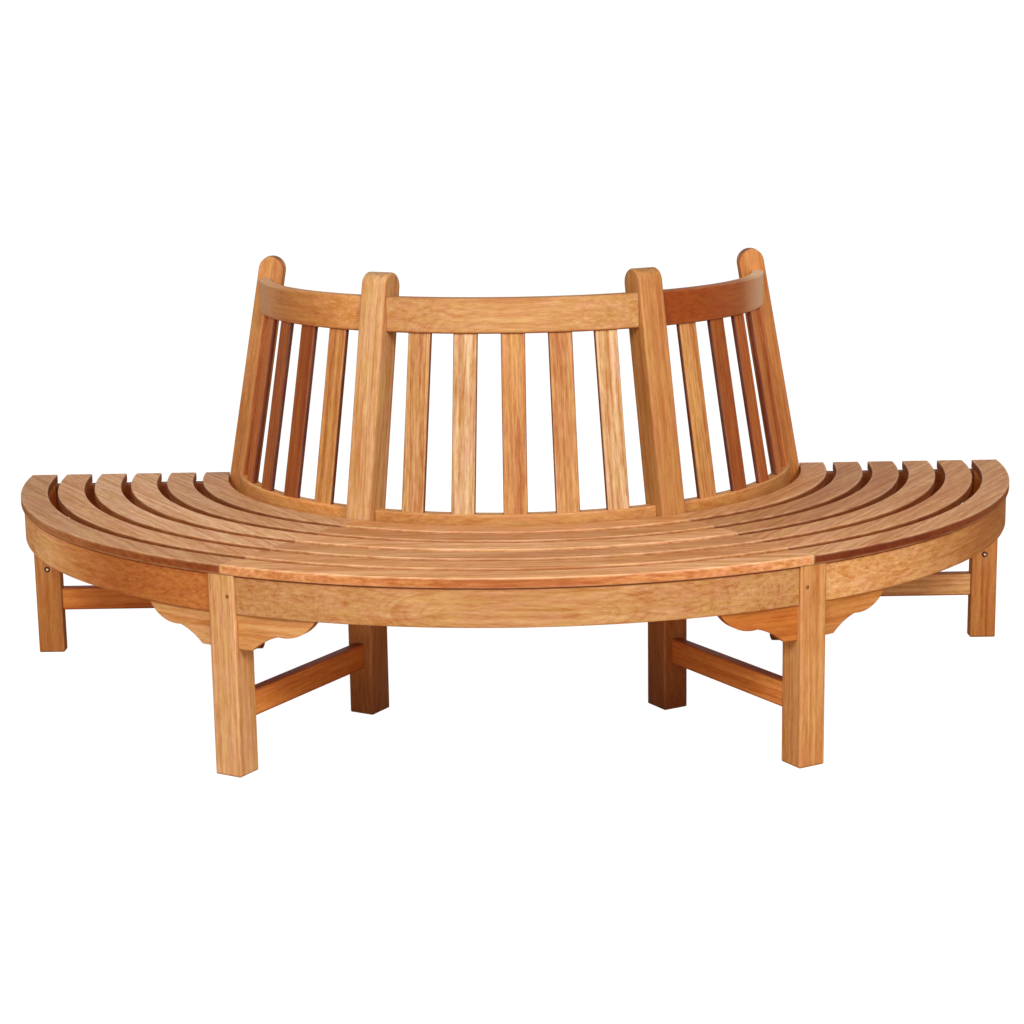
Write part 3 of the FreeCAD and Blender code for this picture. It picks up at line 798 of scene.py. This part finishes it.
def bearer_material():
    """Teak for the bearers, whose grain runs out from the middle of the ring."""
    material, tree, surface = new_material("bearer_teak")
    place = add(tree, "TexCoord").outputs["Object"]
    near = vector_maths(tree, "SUBTRACT", place, tuple(ring_centre))
    parts = add(tree, "SeparateXYZ", {0: near}).outputs
    level = add(tree, "CombineXYZ", {0: parts[0], 1: parts[1]}).outputs[0]
    distance = vector_maths(tree, "LENGTH", level)
    turn = maths(tree, "MULTIPLY", maths(tree, "ARCTAN2", parts[0], parts[1]), 0.9)
    grain = add(tree, "CombineXYZ", {0: distance, 1: parts[2], 2: turn}).outputs[0]
    # Painted shade darkens the whole of the bearers
    marks = {"Brightness": 0.9, "Warmth": 0.2, "Soaked": 0.35}
    teak_surface(tree, surface, grain, paint(214, 158, 108), paint(176, 108, 58), marks, {})
    return material


def peg_material():
    """End grain of the pegs, darker than the faces round them, with a little painted shade."""
    material, tree, surface = new_material("peg_end_grain")
    grain = stretched(tree, add(tree, "TexCoord").outputs["Object"], 0.3, 3.0)
    marks = {"End Grain": 1.0, "Warmth": 0.1, "Soaked": 0.1}
    teak_surface(tree, surface, grain, paint(206, 138, 86), paint(168, 100, 54), marks, {}, spacing=0.002)
    return material


def steel_material(name, dark, light, shaded_rim=False):
    """Plain stainless steel with faint turning marks; on a nut's head, painted shade round the rim."""
    material, tree, surface = new_material(name)
    place = add(tree, "TexCoord").outputs["Object"]
    marks = noise(tree, place, 900.0, 3.0)
    smears = noise(tree, place, 60.0, 2.0)
    colour = blended(tree, ranged(tree, smears, 0.35, 0.65), dark, light)
    if shaded_rim:
        parts = add(tree, "SeparateXYZ", {0: place}).outputs
        leg_middle = leg_outer_face - leg_depth / 2
        sideways = maths(tree, "SUBTRACT", maths(tree, "ABSOLUTE", parts[0]), leg_middle)
        upwards = maths(tree, "SUBTRACT", parts[2], nut_height)
        from_axis = add(tree, "CombineXYZ", {0: sideways, 1: upwards}).outputs[0]
        # Painted shade round the rim of the nut's head
        edge_shade = ranged(tree, vector_maths(tree, "LENGTH", from_axis), *nut_rim)
        colour = blended(tree, edge_shade, colour, rim_edge_shade)
    rough = ranged(tree, marks, 0.3, 0.7, 0.24, 0.42)
    bump = add(tree, "Bump", {"Height": marks, "Strength": 0.15, "Distance": 0.0002})
    feed(tree, surface, {
        "Base Color": colour, "Roughness": rough, "Metallic": 1.0, "Normal": bump.outputs[0]})
    return material


# Paler arrises, partly rubbed wear and partly painted highlight, are strongest on the seat
frame_teak = teak_board_material("frame_teak", paint(232, 180, 117), paint(190, 117, 52),
                                 contrast=1.3, rubbed=0.1)
seat_teak = teak_board_material("seat_teak", paint(232, 174, 120), paint(190, 118, 58),
                                contrast=2.0, rubbed=0.45)
rail_teak = teak_board_material("rail_teak", paint(230, 178, 115), paint(196, 125, 60),
                                contrast=1.3, rubbed=0.1)
back_teak = teak_board_material("back_teak", paint(236, 184, 119), paint(180, 105, 40),
                                contrast=1.6, rubbed=0.1)
bearer_teak = bearer_material()
peg_end_grain = peg_material()
stainless_steel = steel_material("stainless_steel", paint(176, 172, 166), paint(206, 203, 198))
# The nuts' steel is paler, so that the middle of each head shows a painted highlight
nut_steel = steel_material("nut_steel", paint(214, 196, 182), paint(240, 228, 218), shaded_rim=True)


# Legs, stretchers and posts

def straight_shell(name, section, stations, place, along, across, middle, soaked=None, bleached=None):
    brightness, warmth = tone_and_light_finish(name)
    grain = Grain(along, across, middle)
    return Shell(section, stations, place, grain, brightness, warmth, soaked, bleached)


def painted_shade_sides(way, amount):
    """Painted shade on the sides of a board, by how far they face along a way."""
    return lambda place, normal: amount * ramp(abs(normal.dot(way)), *side_facing)


def shaded_edges(low, high, edge_shade, over_face=None):
    """Lines of painted shade along the edges of a level board, over the painted shade of its whole face.
    """
    at_low, at_high = edge_shade

    def soaked(place, normal):
        lower = at_low * ramp(low + edge_line - place.z, 0.0, edge_line * edge_fade)
        upper = at_high * ramp(place.z - high + edge_line, 0.0, edge_line * edge_fade)
        return max(lower, upper, over_face(place) if over_face else 0.0)

    return soaked


def along_bay(bay, levels):
    """A level that runs evenly from one to the next of those given, from a bay's start to its end."""
    def level(place):
        near = place - ring_centre
        angle = degrees(atan2(near.x, -near.y))
        share = ramp(angle, bay.start.angle, bay.stop.angle) * (len(levels) - 1)
        first = min(int(share), len(levels) - 2)
        return levels[first] + (levels[first + 1] - levels[first]) * (share - first)

    return level


def peg_line(end):
    """Where an apron's peg enters its leg, and the way it was driven."""
    one, face, side = end
    across = face - side * peg_from_joint
    start = beside_line(one.angle, leg_outer_face, across, seat_underside - apron_peg_drop)
    return start, -outward(one.angle)


def peg_hole(line, length):
    start, way = line
    return bore_cutter(start - way * bore_lead, way, peg_diameter + 2 * peg_room, length)


pegged_apron_ends = bay_ends(bays[1]) + [bay_ends(bays[0])[0], bay_ends(bays[2])[1]]


def make_leg(one):
    node = "front_leg_" + one.name
    middle = leg_outer_face - leg_depth / 2
    centre = frame_middle(one)

    def place(radial, across, height):
        return beside_line(one.angle, middle + radial, centre + across, height)

    section = bar_outline(leg_depth, one.high - one.low, timber_round)
    stations = eased_stations(0.0, seat_underside, leg_foot_ease, leg_top_ease, 6, leg_seam)
    middle_of_grain = place(0, 0, leg_grain_height)
    shell = straight_shell(node, section, stations, place, up, around(one.angle), middle_of_grain)
    holes = [peg_hole(peg_line(end), apron_peg_bore) for end in pegged_apron_ends if end[0] is one]
    if one in end_frames:
        start = beside_line(one.angle, middle, one.low - bore_lead, nut_height)
        holes.append(bore_cutter(start, around(one.angle), nut_sleeve + 2 * peg_room, nut_bore))
    teak_piece(node, [shell], frame_teak, holes)


def make_stretcher(one):
    node = "stretcher_" + one.name
    low, high = span(node, one.angle, lambda place, out, along: place.z)
    left, right = span(node, one.angle, lambda place, out, along: place.dot(along))
    centre = frame_middle(one)
    start, stop = post_outer_face, leg_outer_face - leg_depth

    def place(across, height, radial):
        return beside_line(one.angle, radial, centre + across, (low + high) / 2 + height)

    # Painted shade on the stretcher, darker towards its post
    def near_post(spot):
        radius = hypot(*(spot - ring_centre).xy)
        return stretcher_post_shade * (stop - radius) / (stop - start)

    section = bar_outline(right - left, high - low, board_round)
    stations = eased_stations(start, stop, butt_ease, butt_ease, 4)
    middle = place(0, 0, (start + stop) / 2)
    shell = straight_shell(node, section, stations, place, outward(one.angle), up, middle,
                           shaded_edges(low, high, stretcher_edge_shade, near_post))
    teak_piece(node, [shell], frame_teak)


def post_outline():
    """Side view of a post as (radial, height): upright to its knee, leaning in above, round on top."""
    lean = radians(post_lean)
    half = post_crown_depth / 2
    across = Vector((cos(lean), sin(lean))) * half
    rise = Vector((-sin(lean), cos(lean))) * half
    inner_turn = radians(90.0 + post_inner_lean() - post_lean)
    outer_top = post_crown() + rise + across
    inner_top = post_crown() + rise - across * tan(inner_turn / 2)
    return outline([
        Corner(post_outer_face - post_depth, 0.0, timber_round, 2),
        Corner(post_outer_face, 0.0, timber_round, 2),
        Corner(post_outer_face, post_knee, post_knee_bend, 4),
        Corner(outer_top.x, outer_top.y, half, 9),
        Corner(inner_top.x, inner_top.y, half, 9),
        Corner(post_outer_face - post_depth, post_knee, post_knee_bend, 4),
    ])


def rail_middle(node):
    low, high = span(node, 0.0, ring_radius)
    return (low + high) / 2


def rail_peg_line(end, radius, height):
    """Where a rail's peg enters the inner face of its post, and the way it was driven."""
    one, face, side = end
    lean = radians(post_inner_lean())
    way = outward(one.angle) * cos(lean) + up * sin(lean)
    inner_face = post_outer_face - post_depth - (height - post_knee) * tan(lean)
    depth = (radius - inner_face) * cos(lean)
    return beside_line(one.angle, radius, face - side * peg_from_joint, height) - way * depth, way


def rail_pegs_of(one):
    """Every rail peg of one post."""
    lines = []
    for bay in bays:
        for end in bay_ends(bay):
            if end[0] is not one:
                continue
            for rail, drop in rail_peg_drops.items():
                node = "%s_%s" % (rail, bay.name)
                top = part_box(node)[1].z
                lines.append(rail_peg_line(end, rail_middle(node), top - drop))
    return lines


def make_post(one):
    node = "back_post_" + one.name
    lean = radians(post_lean)

    def place(radial, height, across):
        return beside_line(one.angle, radial, across, height)

    def soaked(place, normal):
        """Painted shade on the back arris, on the foot below the knee and on the sides."""
        back = -normal.dot(outward(one.angle))
        arris = post_arris_shade * max(0.0, 1.0 - abs(back - arris_facing) / arris_facing)
        side = post_side_shade.get(one.name, 0.0) * ramp(abs(normal.dot(around(one.angle))), *side_facing)
        foot = post_foot_shade * ramp(post_knee - place.z, *foot_depths)
        return max(arris, side + foot)

    ease = end_post_round if one in end_frames else post_round
    stations = eased_stations(one.low, one.high, ease, ease, 3, 0.0, 4)
    along = up * cos(lean) - outward(one.angle) * sin(lean)
    middle = place(*post_grain_middle, frame_middle(one))
    shell = straight_shell(node, post_outline(), stations, place, along, around(one.angle), middle, soaked)
    holes = [peg_hole(line, rail_peg_bore) for line in rail_pegs_of(one)]
    teak_piece(node, [shell], frame_teak, holes)


# Curved boards

def ring_span(node):
    """Radii and heights of a curved board, read from its CAD node."""
    low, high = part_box(node)
    return (*span(node, 0.0, ring_radius), low.z, high.z)


def curved_shell(node, bay, start_face, stop_face, radius, grain_across, notched=False, seam=1.0,
                 soaked=None, bleached=None):
    """A board sawn to two arcs whose ends are parallel to the lines of the frames beside it."""
    inner, outer, bottom, top = ring_span(node)
    middle_radius, middle_height = (inner + outer) / 2, (bottom + top) / 2
    length = radians(bay.stop.angle - bay.start.angle) * middle_radius + stop_face - start_face
    stations = eased_stations(0.0, length, butt_ease, butt_ease, ceil(length / board_step), seam)
    end_zone = butt_ease + margin
    if notched:
        end_zone = notch_half_width
        for corner in (notch_half_width - start_face, length - (notch_half_width + stop_face)):
            stations += [(corner - notch_step, 0.0, 0.0), (corner + notch_step, 0.0, 0.0)]
        stations.sort()

    def near_start(here, along):
        return ring_angle(here, bay.start.angle, start_face + along)

    def near_stop(here, along):
        return ring_angle(here, bay.stop.angle, stop_face - (length - along))

    def place(radial, height, along):
        here = middle_radius + radial
        if notched:
            across = min(start_face + along, length - along - stop_face)
            if across < notch_half_width:
                here = max(here, hypot(notch_face, across))
        if along <= end_zone:
            angle = near_start(here, along)
        elif along >= length - end_zone:
            angle = near_stop(here, along)
        else:
            share = (along - end_zone) / (length - 2 * end_zone)
            angle = near_start(here, end_zone) * (1 - share) + near_stop(here, length - end_zone) * share
        return ring_centre + outward(angle) * here + up * (middle_height + height)

    bay_angle = (bay.start.angle + bay.stop.angle) / 2
    section = bar_outline(outer - inner, top - bottom, radius)
    along = around(bay_angle)
    across = up if grain_across == "height" else outward(bay_angle)
    middle = beside_line(bay_angle, middle_radius, 0.0, middle_height)
    return straight_shell(node, section, stations, place, along, across, middle, soaked, bleached)


def make_board(node, bay, material, radius, edge_shade, over_face=None, bleached=None):
    """An apron or a rail between the side faces of two frames."""
    low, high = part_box(node)
    soaked = shaded_edges(low.z, high.z, edge_shade, over_face)
    shell = curved_shell(node, bay, bay.start.high, bay.stop.low, radius, "height",
                         soaked=soaked, bleached=bleached)
    teak_piece(node, [shell], material)


def make_seat_slat(bay, ring):
    node = "seat_slat_%s_%d" % (bay.name, ring)
    start = 0.0 if bay.start in end_frames else slat_joint / 2
    stop = 0.0 if bay.stop in end_frames else -slat_joint / 2
    inside = gap_shade[bay.name]
    rim = along_bay(bay, seat_rim_shade[bay.name] if ring == seat_rings else (inside, inside))

    def soaked(place, normal):
        """Painted shade on the sides of a slat: in the gaps, and along the outer face of the outermost
        one.
        """
        outer_side = normal.dot(place - ring_centre) > 0
        return (rim(place) if outer_side else inside) * (1.0 - ramp(abs(normal.z), *side_facing))

    shell = curved_shell(node, bay, start, stop, slat_round, "radial", ring == 1, seat_seam, soaked)
    teak_piece(node, [shell], seat_teak)


# Back slats

def back_slat_angles(bay, radius):
    """Angles of a bay's back slats, with equal gaps at half their height."""
    start = ring_angle(radius, bay.start.angle, bay.start.high)
    stop = ring_angle(radius, bay.stop.angle, bay.stop.low)
    sweep = 2 * degrees(asin(back_slat_width / 2 / radius))
    gap = (stop - start - back_slat_count * sweep) / (back_slat_count + 1)
    return [start + gap + sweep / 2 + number * (gap + sweep) for number in range(back_slat_count)]


def make_back_slats(bay):
    node = "back_slats_" + bay.name
    top_inner, top_outer, top_bottom, _ = ring_span("top_rail_" + bay.name)
    bottom_inner, bottom_outer, _, bottom_top = ring_span("bottom_rail_" + bay.name)
    low, high = bottom_top - back_slat_housing, top_bottom + back_slat_housing
    slope = (bottom_outer - top_outer) / (top_bottom - bottom_top)
    lean = atan2(slope, 1.0)
    setback = back_slat_setback + back_slat_thickness / 2 / cos(lean)
    foot_radius = bottom_outer + slope * back_slat_housing - setback
    section = bar_outline(back_slat_width, back_slat_thickness, board_round)
    shells = []
    for angle in back_slat_angles(bay, (top_inner + top_outer + bottom_inner + bottom_outer) / 4):
        along = (up * cos(lean) - outward(angle) * sin(lean)).normalized()
        face = outward(angle) * cos(lean) + up * sin(lean)
        foot = beside_line(angle, foot_radius, 0.0, low)
        length = (high - low) / cos(lean)

        def place(across, through, height, foot=foot, angle=angle, along=along, face=face):
            return foot + around(angle) * across + face * through + along * height

        stations = eased_stations(back_slat_play, length - back_slat_play, butt_ease, butt_ease, 5)
        middle = place(0, 0, length / 2)
        name = "%s_%d" % (node, len(shells) + 1)
        soaked = painted_shade_sides(around(angle), slat_side_shade.get(name, 1.0))
        shells.append(straight_shell(name, section, stations, place, along, around(angle), middle, soaked))
    teak_piece(node, shells, back_teak)


# Corner brackets

def bowed_corners(start, stop, bow, count):
    """Points between two corners of a bracket's outline; a positive bow lifts the middle."""
    chord = stop - start
    lift = (Vector((-chord.y, chord.x)) * bow).normalized()
    half = chord.length / 2
    radius = (half ** 2 + bow ** 2) / (2 * abs(bow))
    points = []
    for step in range(1, count):
        along = -half + 2 * half * step / count
        rise = sqrt(radius ** 2 - along ** 2) - (radius - abs(bow))
        points.append(start + chord * (step / count) + lift * rise)
    return points


def bracket_outline():
    """Face of a bracket as (along from its leg end, height), before that end is fitted to the leg."""
    heel = Vector((0.0, -bracket_drop))
    toe = Vector((bracket_toe, -bracket_drop))
    shelf = Vector(bracket_shelf)
    tip = Vector((bracket_length, 0.0))
    hollow = bowed_corners(toe, shelf, bracket_hollow, 8)
    belly = bowed_corners(shelf, tip, -bracket_belly, 14)
    points = [heel, toe, *hollow, shelf, *belly, tip, Vector((0.0, 0.0))]
    return outline([Corner(*point, 0.0, 0) for point in points])


def make_bracket(bay, end):
    one, face, side = end
    node = "corner_bracket_%s_%s" % (one.name, bay.name)
    half_turns = [degrees(asin(width / 2 / bracket_front)) for width in (timber_width, bracket_length)]
    turn = side * sum(half_turns)
    board_angle = one.angle + turn

    def leg_side(through):
        """How far along the bracket its leg's side face is, at a depth behind its front."""
        radial = bracket_front - through
        lean = radians(turn)
        reach = (abs(face) - radial * sin(abs(lean))) / cos(lean)
        return reach + bracket_length / 2

    def place(along, height, through):
        start = leg_side(through)
        if along < bracket_trim:
            along = start + along * (bracket_trim - start) / bracket_trim
        return beside_line(board_angle, bracket_front - through, side * (along - bracket_length / 2),
                           apron_bottom + height)

    stations = eased_stations(0.0, bracket_thickness, bracket_round, bracket_round, 2, 0.0)
    middle = place(bracket_length / 2, -bracket_grain_drop, bracket_thickness / 2)
    shell = straight_shell(node, bracket_outline(), stations, place, around(board_angle), up, middle)
    teak_piece(node, [shell], frame_teak)


# Pegs

def make_pegs(node, lines, length):
    """Round pegs, cut off just below the face that they were driven into."""
    section = bar_outline(peg_diameter, peg_diameter, peg_diameter / 2, 5)
    shells = []
    for start, way in lines:
        across = way.orthogonal().normalized()
        upwards = way.cross(across)

        def place(a, b, depth, start=start, way=way, across=across, upwards=upwards):
            return start + across * a + upwards * b + way * depth

        stations = eased_stations(peg_sink, length, peg_ease, peg_ease)
        shells.append(straight_shell(node, section, stations, place, way, across, start))
    teak_piece(node, shells, peg_end_grain)


for one in frames:
    make_leg(one)
    make_stretcher(one)
    make_post(one)
for bay in bays:
    # Aprons and top rails carry painted shade along their bay; top rails also a painted sheen
    make_board("apron_" + bay.name, bay, frame_teak, board_round, apron_edge_shade,
               along_bay(bay, apron_shade[bay.name]))
    make_board("top_rail_" + bay.name, bay, rail_teak, rail_round, top_rail_edge_shade,
               along_bay(bay, rail_shade[bay.name]), along_bay(bay, rail_sheen[bay.name]))
    make_board("bottom_rail_" + bay.name, bay, rail_teak, rail_round, bottom_rail_edge_shade)
    make_back_slats(bay)
    for ring in slat_numbers:
        make_seat_slat(bay, ring)
    for end in bay_ends(bay):
        if end[0] not in end_frames:
            make_bracket(bay, end)
make_pegs("apron_pegs", [peg_line(end) for end in pegged_apron_ends], apron_peg_length)
make_pegs("rail_pegs", [line for one in frames for line in rail_pegs_of(one)], rail_peg_length)


# Pieces that keep their CAD shape

def kept_finish(name):
    if "bearer" in name:
        return bearer_teak
    return nut_steel if name == "connector_nuts" else stainless_steel


for name, node in nodes.items():
    if not node.hide_render:
        node.data.materials.clear()
        node.data.materials.append(kept_finish(name))


# Floor, light and camera

def make_floor(size):
    """Plain pale floor that reads white, with a soft shadow, and sends warm light back up."""
    bpy.ops.mesh.primitive_plane_add(size=size)
    floor = bpy.context.object
    floor.name = "floor"
    material = bpy.data.materials.new("pale_floor")
    tree = blank_tree(material)
    to_camera = add(tree, "LightPath").outputs["Is Camera Ray"]
    bounced = add(tree, "BsdfDiffuse", {"Color": (0.55, 0.30, 0.14, 1.0)}).outputs[0]
    shown = add(tree, "BsdfDiffuse", {"Color": (0.25, 0.24, 0.23, 1.0)}).outputs[0]
    glow = add(tree, "Emission", {"Color": (1.0, 1.0, 1.0, 1.0), "Strength": 0.975}).outputs[0]
    pale = add(tree, "AddShader", {0: shown, 1: glow}).outputs[0]
    surface = add(tree, "MixShader", {0: to_camera, 1: bounced, 2: pale}).outputs[0]
    add(tree, "OutputMaterial", {"Surface": surface})
    floor.data.materials.append(material)


def make_world():
    """White behind the object, with a softer light all round."""
    world = bpy.data.worlds.new("studio")
    bpy.context.scene.world = world
    tree = blank_tree(world)
    ray = add(tree, "LightPath").outputs
    fill = add(tree, "Background", {"Color": (1.0, 0.96, 0.90, 1.0), "Strength": 0.21}).outputs[0]
    sheen = add(tree, "Background", {"Color": (1.0, 0.98, 0.96, 1.0), "Strength": 0.7}).outputs[0]
    white = add(tree, "Background", {"Color": (1.0, 1.0, 1.0, 1.0), "Strength": 1.1}).outputs[0]
    soft = add(tree, "MixShader", {0: ray["Is Glossy Ray"], 1: fill, 2: sheen}).outputs[0]
    surface = add(tree, "MixShader", {0: ray["Is Camera Ray"], 1: soft, 2: white}).outputs[0]
    add(tree, "OutputWorld", {"Surface": surface})


def make_softbox(name, place, aim, size, power):
    light = bpy.data.lights.new(name, "AREA")
    light.shape = "RECTANGLE"
    light.size, light.size_y = size
    light.energy = power
    lamp = put_in_scene(name, light)
    lamp.location = place
    lamp.rotation_euler = (Vector(aim) - Vector(place)).to_track_quat("-Z", "Y").to_euler()


def make_camera(place, tilt, turn, lens):
    """Camera at the photograph's viewing angle, on a 36 mm sensor."""
    data = bpy.data.cameras.new("camera")
    data.lens = lens
    data.sensor_width = 36.0
    camera = put_in_scene("camera", data)
    way = Matrix.Rotation(radians(tilt), 4, "X") @ Matrix.Rotation(radians(turn), 4, "Z")
    camera.matrix_world = Matrix.Translation(place) @ way
    bpy.context.scene.camera = camera


bench_middle = (0.0, -0.1, 0.4)
bench_front = (0.0, -0.5, 0.2)
make_floor(size=30.0)
make_world()
make_softbox("left_softbox", (-1.9, -3.9, 3.5), bench_middle, size=(1.6, 1.6), power=128.0)
make_softbox("right_softbox", (2.1, -3.8, 3.5), bench_middle, size=(1.6, 1.6), power=145.0)
make_softbox("front_softbox", (0.3, -4.4, 0.9), bench_front, size=(3.0, 1.0), power=42.0)
make_camera((-0.0077, -4.4355, 1.3358), tilt=78.484, turn=-0.929, lens=75.67)
bpy.context.scene.view_settings.view_transform = "Standard"
